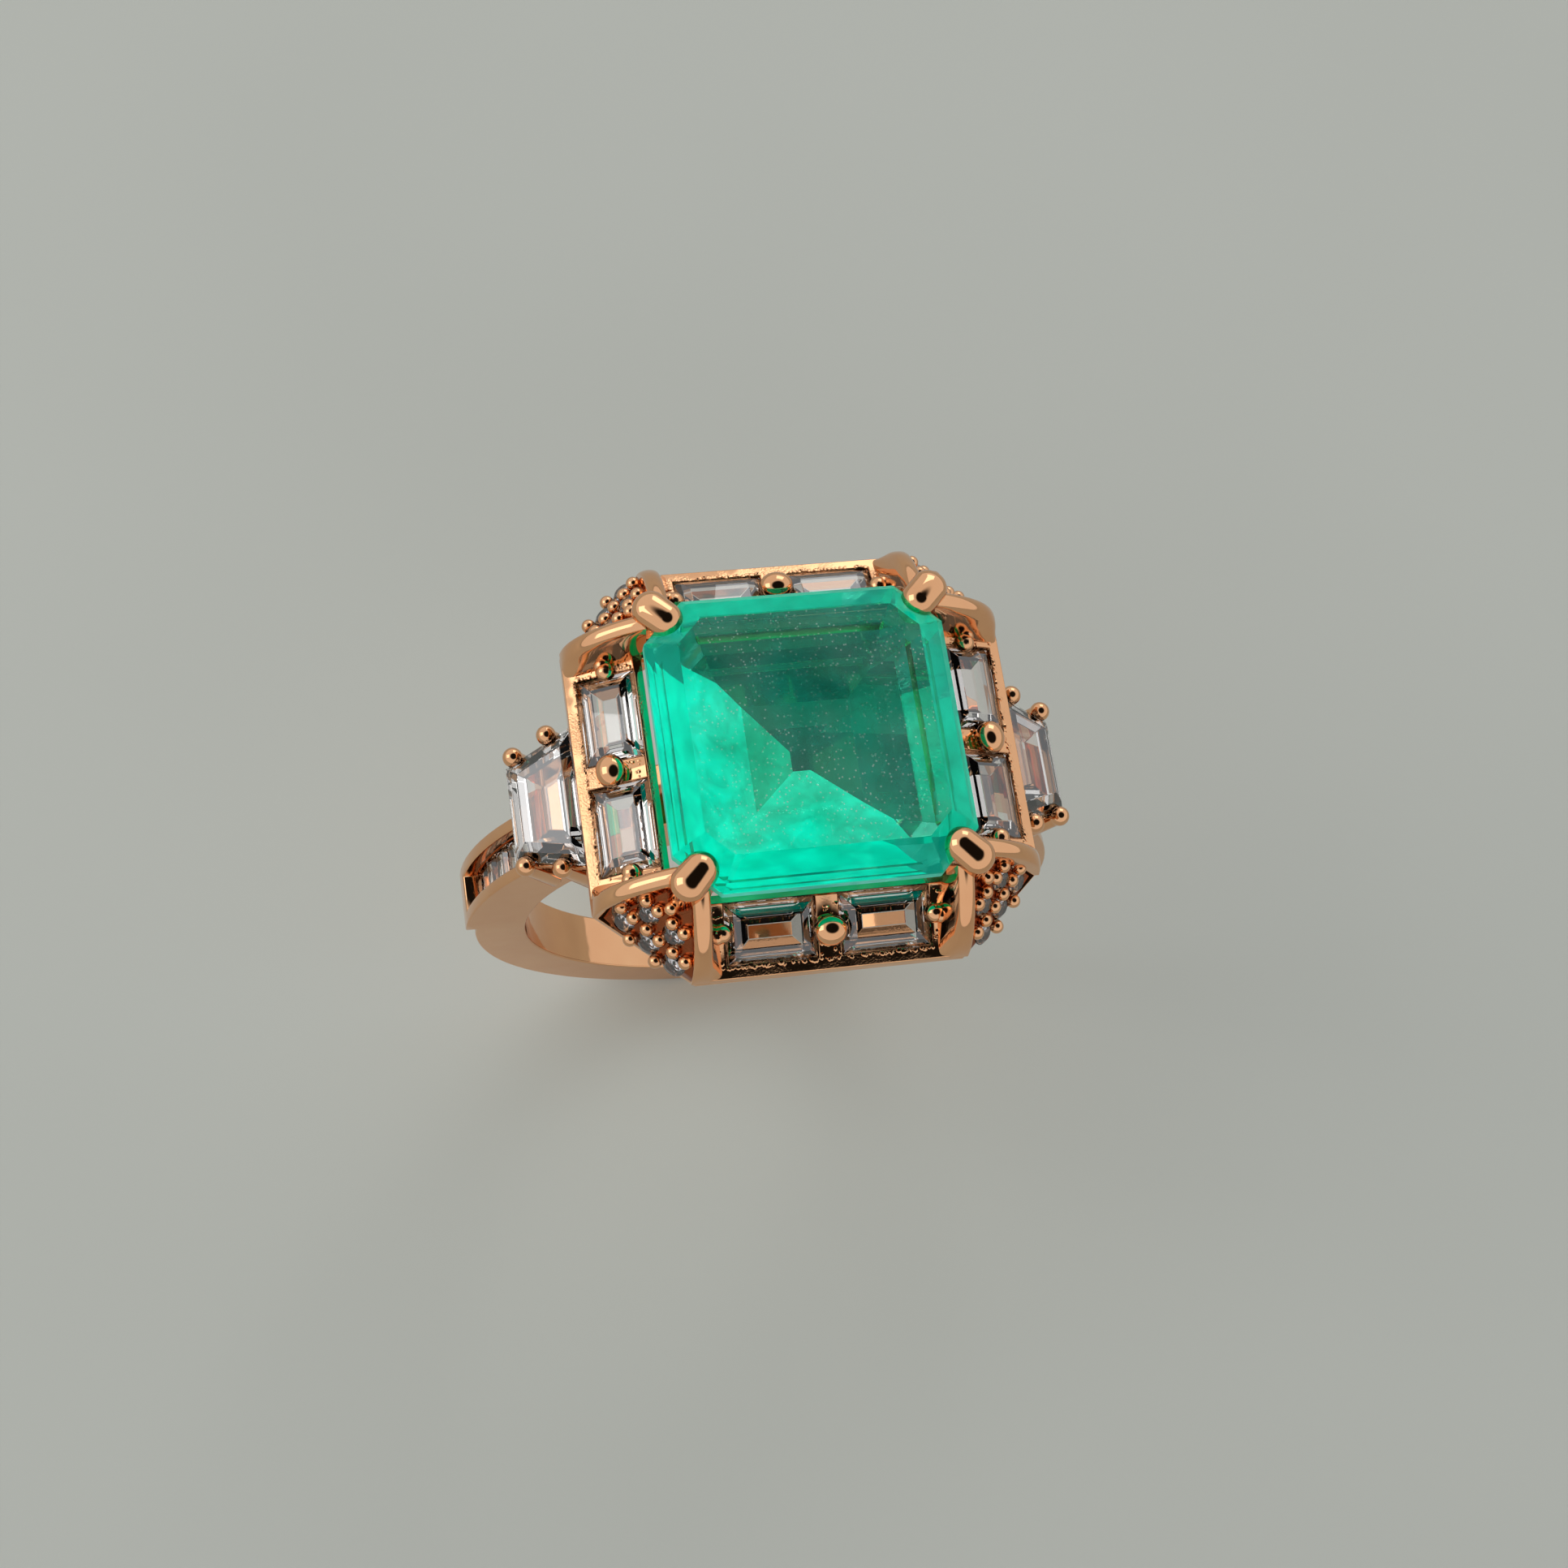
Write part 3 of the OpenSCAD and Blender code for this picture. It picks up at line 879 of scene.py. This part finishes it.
@dataclass
class MidProngs:
    """The large round bead between the two baguettes of each side.

    Args:
        plan: The head's places.
        metal: Their finish.
        bead_r: A bead's radius, in millimetres.
        share: Where it stands, as a share of the baguettes' width down the slope.
        rise: The bead's middle above the slope.
        stretch: The bead's shape, down the slope, along the side and square to it.
        pin_r: The pin's radius at its foot and at its top.
        pin_length: The pin's length.
        pin_drop: The pin's middle below the slope.
    """

    plan: HeadPlan
    metal: bpy.types.Material
    bead_r: float = 0.5
    share: float = 0.56
    rise: float = 0.3
    stretch: tuple[float, float, float] = (1.0, 1.14, 0.86)
    pin_r: tuple[float, float] = (0.2, 0.36)
    pin_length: float = 0.6
    pin_drop: float = 0.2

    def build(self) -> None:
        """Make the four beads, each drawn from a pin that passes through the tray."""
        for side in HaloSide:
            shape = bmesh.new()
            bead = Matrix.Translation((0, 0, self.rise)) @ Matrix.Diagonal((*self.stretch, 1))
            bmesh.ops.create_uvsphere(shape, u_segments=48, v_segments=24, radius=self.bead_r, matrix=bead)
            bmesh.ops.create_cone(
                shape,
                cap_ends=True,
                segments=32,
                radius1=self.pin_r[0],
                radius2=self.pin_r[1],
                depth=self.pin_length,
                matrix=Matrix.Translation((0, 0, -self.pin_drop)),
            )
            where = self.plan.side_place(side) @ Matrix.Translation((self.plan.baguette_w * self.share, 0, 0))
            bmesh.ops.transform(shape, matrix=where, verts=shape.verts)
            label = f"mid_prong_{side.value[0]}"
            finish_piece(shape, f"{label}_bead", self.metal, [label])


@dataclass
class CornerClaws:
    """The four corner castings: claw, two arms and a pavé plate.

    Args:
        plan: The head's places.
        metal: Their finish.
        recess_shade_finish: The finish between the pavé stones, whose darker colour is painted shade; it is
            rougher where the buff doesn't reach.
        tip_r: The claw's radius, in millimetres.
        tip_run: How far the claw runs out along the corner's diagonal, along X and Y alike.
        tip_flare: How much wider the claw is at its outer end, as a share.
        tip_fall: How much lower the claw's round top is at its outer end, as a share.
        lug_depth: How far the claw's post goes down below its round top.
        ridge_fall: Shape of the arms' curve along its length and in its height.
        arm_steps: How many steps draw an arm's length.
        ridge_lift: How far the arms' highest point lies above the claw's middle.
        arm_cover: How far an arm's walls lie over the plate's cut ends.
        leaf_w: How far an arm's slope spreads towards the baguettes.
        leaf_turn: How far the round crest turns before the slope starts, in degrees.
        leaf_start: The share of the arm's length over which the slope widens.
        leaf_hollow: How hollow the slope is, where one is flat.
        skin: How far above the plate's face its copy is cut off, which leaves the claw's own post out.
        bead_r: Radius of the beads between the pavé stones.
        bead_rise: Their middles above the plate.
        tip_inset: How far the claw's middle lies inside the middle of the stone's cut corner.
        arm_start_inset: How far inside it the arms start.
        plate_gap: How far past an arm's wall the plate is cut, so that their faces never share a place.
        bead_rows: Rows of beads up the plate, each with its height on the plate and its places along it.
    """

    plan: HeadPlan
    metal: bpy.types.Material
    recess_shade_finish: bpy.types.Material
    tip_r: float = 0.6
    tip_run: float = 0.42
    tip_flare: float = 0.06
    tip_fall: float = 0.22
    lug_depth: float = 1.8
    ridge_fall: tuple[float, float] = (1.35, 0.44)
    arm_steps: int = 28
    ridge_lift: float = 0.2
    arm_cover: float = 0.01
    leaf_w: float = 0.62
    leaf_turn: float = 60.0
    leaf_start: float = 0.4
    leaf_hollow: float = 1.15
    skin: float = 0.015
    bead_r: float = 0.24
    bead_rise: float = 0.1
    tip_inset: float = 0.05
    arm_start_inset: float = 0.07
    plate_gap: float = 0.004
    bead_rows: tuple[tuple[float, tuple[float, ...]], ...] = (
        (0.0, (-0.54, 0.54)),
        (0.79, (-1.36, -0.84, -0.27, 0.27, 0.84, 1.36)),
        (1.68, (-0.8, -0.3, 0.3, 0.8)),
        (2.1, (0.0,)),
    )

    def _tip(self) -> bmesh.types.BMesh:
        """Draw the round claw with the post that carries it.

        Returns:
            The claw over the back right corner.
        """
        plan = self.plan
        shape = bmesh.new()
        turned = Matrix.Rotation(math.radians(90), 4, "Y")
        bmesh.ops.create_uvsphere(shape, u_segments=48, v_segments=24, radius=self.tip_r, matrix=turned)
        run = self.tip_run * math.sqrt(2)
        for vert in shape.verts:
            if vert.co.x > 0.001:
                vert.co.x += run
                share = vert.co.x / (run + self.tip_r)
                vert.co.y *= 1 + self.tip_flare * share
                vert.co.z *= 1 - self.tip_fall * share
        cut_away(shape, Vector((0, 0, 0)), Vector((0, 0, 1)), 0.001)
        open_edges = [e for e in shape.edges if e.is_boundary]
        post = bmesh.ops.extrude_edge_only(shape, edges=open_edges)
        low = [v for v in post["geom"] if isinstance(v, bmesh.types.BMVert)]
        bmesh.ops.translate(shape, vec=(0, 0, -self.lug_depth), verts=low)
        close_holes(shape)
        inner = [plan.stone[i] - plan.stone_corner / 2 - self.tip_inset for i in (0, 1)]
        where = Matrix.Translation((inner[0], inner[1], plan.claw_top - self.tip_r)) @ Matrix.Rotation(
            math.radians(45), 4, "Z"
        )
        bmesh.ops.transform(shape, matrix=where, verts=shape.verts)
        return shape

    def _arm(self, start: float, end: float, middle: float) -> bmesh.types.BMesh:
        """Draw one arm along X: a round crest that falls to nothing, with a leaf-like slope beside the row.

        Args:
            start: Where it leaves the claw.
            end: Where it meets the tray's outer wall.
            middle: Its place along Y.

        Returns:
            The arm.
        """
        plan = self.plan
        shape = bmesh.new()
        bmesh.ops.create_grid(shape, x_segments=self.arm_steps, y_segments=24, size=1.0)
        top = plan.claw_top - self.tip_r + self.ridge_lift
        for vert in shape.verts:
            along, around = vert.co.x, vert.co.y
            share = math.sin(math.radians(90) * (along + 1) / 2)
            fall, power = self.ridge_fall
            height = (top - plan.web_top) * max(0.0, 1 - share**fall) ** power
            half = plan.arm_w / 2 + self.arm_cover
            crown = min(half, height)
            row_side = around < 0
            turn = math.radians(self.leaf_turn if row_side else 90) * max(-1.0, min(1.0, 2 * around))
            down = max(0.0, 2 * abs(around) - 1)
            widening = min(1.0, share / self.leaf_start) if row_side else 0.0
            spread = self.leaf_w * widening * down**self.leaf_hollow
            crest = height - crown + crown * math.cos(turn)
            vert.co.x = start + (end - start) * share
            vert.co.y = middle + half * math.sin(turn) - spread
            vert.co.z = plan.web_top + crest * (1 - down)
        merge(shape, near=0.004)
        near_end = [e for e in shape.edges if e.is_boundary and all(v.co.x < start + 0.001 for v in e.verts)]
        bmesh.ops.contextual_create(shape, geom=near_end)
        close_holes(shape)
        return shape

    def _plate(self, label: str) -> bmesh.types.BMesh:
        """Cut the pavé plate with its stone holes from a claw's casting.

        Args:
            label: The CAD node's name.

        Returns:
            The plate, closed where the arms were cut away.
        """
        shape = copy_of(label)
        x_sign = 1 if box_mm(label)[1].x > 0 else -1
        y_sign = 1 if box_mm(label)[1].y > 0 else -1
        reach = self.plan.arm_w / 2 + self.plate_gap
        mirror = Matrix.Diagonal((x_sign, y_sign, 1, 1))
        place = self.plan.pave_place()
        face_normal = (mirror @ place.col[2]).to_3d()
        cuts = [
            (Vector((x_sign * (self.plan.arm[0] + reach), 0, 0)), Vector((x_sign, 0, 0))),
            (Vector((0, y_sign * (self.plan.arm[1] + reach), 0)), Vector((0, y_sign, 0))),
            (mirror @ place.translation + face_normal * self.skin, -face_normal),
        ]
        for point, normal in cuts:
            cut_away(shape, point, normal, 0.0001)
            close_holes(shape)
        merge(shape)
        return shape

    def _beads(self) -> bmesh.types.BMesh:
        """Raise the small beads that hold the pavé stones.

        Returns:
            The beads of the back right corner.
        """
        shape = bmesh.new()
        place = self.plan.pave_place()
        for up, spots in self.bead_rows:
            for spot in spots:
                where = place @ Matrix.Translation((up, spot, self.bead_rise))
                bmesh.ops.create_uvsphere(
                    shape, u_segments=24, v_segments=12, radius=self.bead_r, matrix=where
                )
        return shape

    def build(self) -> None:
        """Make the four corner castings."""
        plan = self.plan
        start = [plan.stone[i] - plan.stone_corner / 2 - self.arm_start_inset for i in (0, 1)]
        for corner in Corner:
            label = f"claw_{corner.value[0]}"
            shape = self._tip()
            join(shape, self._arm(start[0], plan.tray.x, plan.arm[1]))
            crossed = self._arm(start[1], plan.tray.y, plan.arm[0])
            swap = Matrix(((0, 1, 0, 0), (1, 0, 0, 0), (0, 0, 1, 0), (0, 0, 0, 1)))
            bmesh.ops.transform(crossed, matrix=swap, verts=crossed.verts)
            join(shape, crossed)
            join(shape, self._beads())
            bmesh.ops.transform(shape, matrix=plan.corner_place(corner), verts=shape.verts)
            polished_faces = len(shape.faces)
            join(shape, self._plate(label))
            # The plate's faces take the second finish, whose darker colour is painted shade between the pavé
            # stones
            for number, face in enumerate(shape.faces):
                face.material_index = int(number >= polished_faces)
            casting = finish_piece(shape, f"{label}_casting", self.metal, [label])
            casting.data.materials.append(self.recess_shade_finish)


@dataclass
class SideBaskets:
    """The wire baskets of the two side stones.

    Args:
        metal: Their finish.
        edge: Width of their polished edges, in millimetres.
    """

    metal: bpy.types.Material
    edge: float = 0.05

    def build(self) -> None:
        """Make both baskets as softened castings."""
        for shoulder in Shoulder:
            label = f"side_basket_{shoulder.value}"
            shape = copy_of(label)
            soften(shape, self.edge, segments=2)
            finish_piece(shape, f"{label}_casting", self.metal, [label])


# ---- Stones ----


@dataclass
class Stones:
    """Every stone, with its facet edges polished.

    Args:
        green: The centre stone's finishes by group of facets, with painted lit and painted shaded copies for
            the pavilion.
        clear: The larger clear stones' finish.
        melee: The smallest clear stones' finish, whose greyer colour is painted shade.
        centre_edge: Width of the centre stone's girdle edges, in millimetres.
        clear_edge: Width of the clear stones' facet edges.
        facet_crease: The smallest angle between two facets, in degrees.
        upright: A facet whose direction rises or falls less than this belongs to the girdle.
        lit_side: Where the painted light on the pavilion comes from, along X and Y.
        lit_from: How nearly a pavilion facet faces that way before it counts as lit, where one is straight.
        keel_left: A lit facet belongs to the keel only if its direction's X is below this.
        keel_top: And only if its middle lies below this height.
    """

    green: dict[BerylFace, bpy.types.Material]
    clear: bpy.types.Material
    melee: bpy.types.Material
    centre_edge: float = 0.03
    clear_edge: float = 0.015
    facet_crease: float = 8.0
    upright: float = 0.05
    lit_side: tuple[float, float] = (-0.6, -0.8)
    lit_from: float = 0.2
    keel_left: float = -0.1
    keel_top: float = 11.4

    def _polished(self, label: str, edge: float, material: bpy.types.Material) -> None:
        """Make one stone with polished facet edges.

        Args:
            label: The CAD node's name.
            edge: Width of its facet edges.
            material: Its finish.
        """
        shape = stone_copy(label)
        soften(shape, edge, crease=self.facet_crease, segments=1)
        finish_piece(shape, f"{label}_cut", material, [label], smooth_below=None)

    def _centre(self) -> None:
        """Make the green stone, whose front and left pavilion facets take painted light and the others
        painted shade.
        """
        shape = stone_copy("centre_stone")
        soften(
            shape,
            self.centre_edge,
            crease=self.facet_crease,
            segments=1,
            chosen=lambda edge: any(abs(face.normal.z) < self.upright for face in edge.link_faces),
        )
        groups = list(self.green)
        towards_light = Vector((*self.lit_side, 0))
        for face in shape.faces:
            group = BerylFace.CROWN
            if face.normal.z > 0.999:
                group = BerylFace.TABLE
            elif abs(face.normal.z) < self.upright:
                group = BerylFace.GIRDLE
            elif face.normal.z < 0:
                # Pavilion facets facing the lit side get the painted lit finishes, the others the painted
                # shaded one
                lit = face.normal.dot(towards_light) > self.lit_from
                low = face.calc_center_median().z < self.keel_top
                group = BerylFace.LIT_PAVILION if lit else BerylFace.SHADED_PAVILION
                if lit and low and face.normal.x < self.keel_left:
                    group = BerylFace.LIT_KEEL
            face.material_index = groups.index(group)
        stone = finish_piece(
            shape, "centre_stone_cut", self.green[groups[0]], ["centre_stone"], smooth_below=None
        )
        for group in groups[1:]:
            stone.data.materials.append(self.green[group])

    def build(self) -> None:
        """Make the stones and dress the smallest ones."""
        self._centre()
        for name in sorted(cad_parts):
            if name.startswith(("baguette", "side_stone", "channel_stones")):
                self._polished(name, self.clear_edge, self.clear)
            elif name.startswith("pave"):
                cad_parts[name].data.materials.clear()
                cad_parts[name].data.materials.append(self.melee)


# ---- Studio ----


@dataclass
class Studio:
    """Pale floor, soft light and the camera.

    Args:
        floor_z: Height of the floor, in millimetres.
        focus: The point that the camera is placed from, in millimetres.
        azimuth: The camera's turn about Z in degrees, from the front towards the right.
        elevation: Its height above the horizon in degrees.
        roll: Its roll in degrees.
        distance: Its distance from the focus, in millimetres.
        offset: The focus's place right of and above the view's middle, in millimetres.
        lens: Focal length on a 36 mm sensor, in millimetres.
        floor_half: Half of the floor's side, in millimetres.
        ceiling: Direction of the dark ceiling over the ring, as X, Y and Z.
        ceiling_edge: How near to that direction the light starts and stops falling, where one is straight.
        room_light: The light's strength all round, and under the ceiling.
    """

    floor_z: float
    focus: Vector
    azimuth: float = -29.16
    elevation: float = 68.11
    roll: float = 22.2
    distance: float = 84.75
    offset: tuple[float, float] = (0.859, 1.566)
    lens: float = 60.17
    floor_half: float = 2000.0
    ceiling: tuple[float, float, float] = (0.13, -0.1, 0.98)
    ceiling_edge: tuple[float, float] = (0.75, 0.87)
    room_light: tuple[float, float] = (0.88, 0.01)

    def _camera(self) -> None:
        """Place the camera."""
        turn, height, roll = (math.radians(a) for a in (self.azimuth, self.elevation, self.roll))
        back = Vector(
            (math.sin(turn) * math.cos(height), -math.cos(turn) * math.cos(height), math.sin(height))
        )
        level = Vector((math.cos(turn), math.sin(turn), 0))
        upright = back.cross(level)
        right = level * math.cos(roll) + upright * math.sin(roll)
        up = upright * math.cos(roll) - level * math.sin(roll)
        place = self.focus + back * self.distance - right * self.offset[0] - up * self.offset[1]
        data = bpy.data.cameras.new("camera")
        data.lens = self.lens
        data.sensor_width = 36.0
        data.clip_start = 0.001
        data.clip_end = 10.0
        camera = bpy.data.objects.new("camera", data)
        axes = Matrix((right, up, back)).transposed().to_4x4()
        camera.matrix_world = Matrix.Translation(place * MM) @ axes
        bpy.context.scene.collection.objects.link(camera)
        bpy.context.scene.camera = camera
        LOG.info("camera at %s mm", [round(v, 2) for v in place])

    def _floor(self) -> None:
        """Lay a plain pale floor."""
        shape = bmesh.new()
        bmesh.ops.create_grid(shape, x_segments=2, y_segments=2, size=self.floor_half * MM)
        bmesh.ops.translate(shape, vec=(0, 0, self.floor_z * MM), verts=shape.verts)
        mesh = bpy.data.meshes.new("floor")
        shape.to_mesh(mesh)
        shape.free()
        # Matte grey card: no gloss, only faint clouds of tone about 40 mm across
        material, tree, output, place = new_material("matte_card")
        tone = add_node(tree, "ShaderNodeTexNoise", {"Scale": per_mm(40), "Detail": 2.0}, {"Vector": place})
        colour = add_node(
            tree,
            "ShaderNodeMix",
            {"data_type": "RGBA", 6: linear("#CED0C7"), 7: linear("#D8DAD1")},
            {0: tone.outputs["Fac"]},
        ).outputs[2]
        surface = add_node(tree, "ShaderNodeBsdfPrincipled", {"Roughness": 0.9}, {"Base Color": colour})
        tree.links.new(surface.outputs[0], output.inputs["Surface"])
        mesh.materials.append(material)
        floor = bpy.data.objects.new("floor", mesh)
        bpy.context.scene.collection.objects.link(floor)

    def _world(self) -> None:
        """Surround the ring with soft light that darkens overhead."""
        world = bpy.data.worlds.new("studio")
        bpy.context.scene.world = world
        world.use_nodes = True
        tree = world.node_tree
        tree.nodes.clear()
        output = add_node(tree, "ShaderNodeOutputWorld")
        direction = add_node(tree, "ShaderNodeTexCoord").outputs["Generated"]
        # Nearness of a direction to the ceiling, whose reflection darkens the stones' steps
        near = add_node(
            tree,
            "ShaderNodeVectorMath",
            {"operation": "DOT_PRODUCT", 1: Vector(self.ceiling).normalized()},
            {0: direction},
        ).outputs["Value"]
        light = add_node(
            tree,
            "ShaderNodeMapRange",
            {
                "interpolation_type": "SMOOTHSTEP",
                "From Min": self.ceiling_edge[0],
                "From Max": self.ceiling_edge[1],
                "To Min": self.room_light[0],
                "To Max": self.room_light[1],
            },
            {"Value": near},
        ).outputs[0]
        background = add_node(
            tree, "ShaderNodeBackground", {"Color": linear("#F4F6F8")}, {"Strength": light}
        )
        tree.links.new(background.outputs[0], output.inputs["Surface"])

    def _softbox(self, name: str, place: Vector, size: float, power: float) -> None:
        """Hang a square softbox that faces the ring.

        Args:
            name: The light's name.
            place: Its place, in millimetres.
            size: Its side, in millimetres.
            power: Its power in watts.
        """
        data = bpy.data.lights.new(name, "AREA")
        data.shape = "SQUARE"
        data.size = size * MM
        data.energy = power
        lamp = bpy.data.objects.new(name, data)
        lamp.location = place * MM
        aim = (self.focus - place).normalized()
        lamp.rotation_euler = aim.to_track_quat("-Z", "Y").to_euler()
        bpy.context.scene.collection.objects.link(lamp)

    def build(self) -> None:
        """Set up the whole studio."""
        self._camera()
        self._floor()
        self._world()
        self._softbox("window_left", Vector((-260, 40, 190)), 180, 0.14)
        self._softbox("window_back", Vector((120, 280, 170)), 160, 0.11)
        bpy.context.scene.view_settings.view_transform = "Standard"


def main() -> None:
    """Build the ring and its studio."""
    logging.basicConfig(level=logging.INFO, format="%(name)s: %(message)s")
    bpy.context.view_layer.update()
    plan = HeadPlan.from_frame()
    polished = RoseGold("polished_rose_gold_casting").material()
    # The buff only skims the tray, so grains break up its mirror
    cast = RoseGold("rose_gold_cast_skin", roughness=0.06, grain_height=0.008).material()
    # The darker colour between the pavé stones is painted shade, which makes their beads stand out; it is
    # also rougher and grainier where the buff doesn't reach
    recess_shade_finish = RoseGold(
        "rose_gold_recess_painted_shade", colour="#AC6440", deep_colour="#74361C", roughness=0.2, grain_height=0.01
    ).material()
    green = {face: Beryl(face).material() for face in BerylFace}
    clear = Zirconia("cubic_zirconia_step_cut").material()
    # The smallest stones send less light back, so their colour is painted a little greyer as painted shade
    melee = Zirconia("cubic_zirconia_melee_painted_shade", colour="#DAD6D6").material()

    # The camera is placed from a point 0.85 mm below the green stone's table
    focus = Vector((0, 0, plan.stone.z - 0.85))
    Studio(floor_z=box_mm("shank")[0].z, focus=focus).build()
    Shank(polished).build()
    Gallery(polished).build()
    HaloTray(plan, cast).build()
    MidProngs(plan, polished).build()
    CornerClaws(plan, polished, recess_shade_finish).build()
    SideBaskets(polished).build()
    Stones(green, clear, melee).build()


if __name__ == "__main__":
    main()
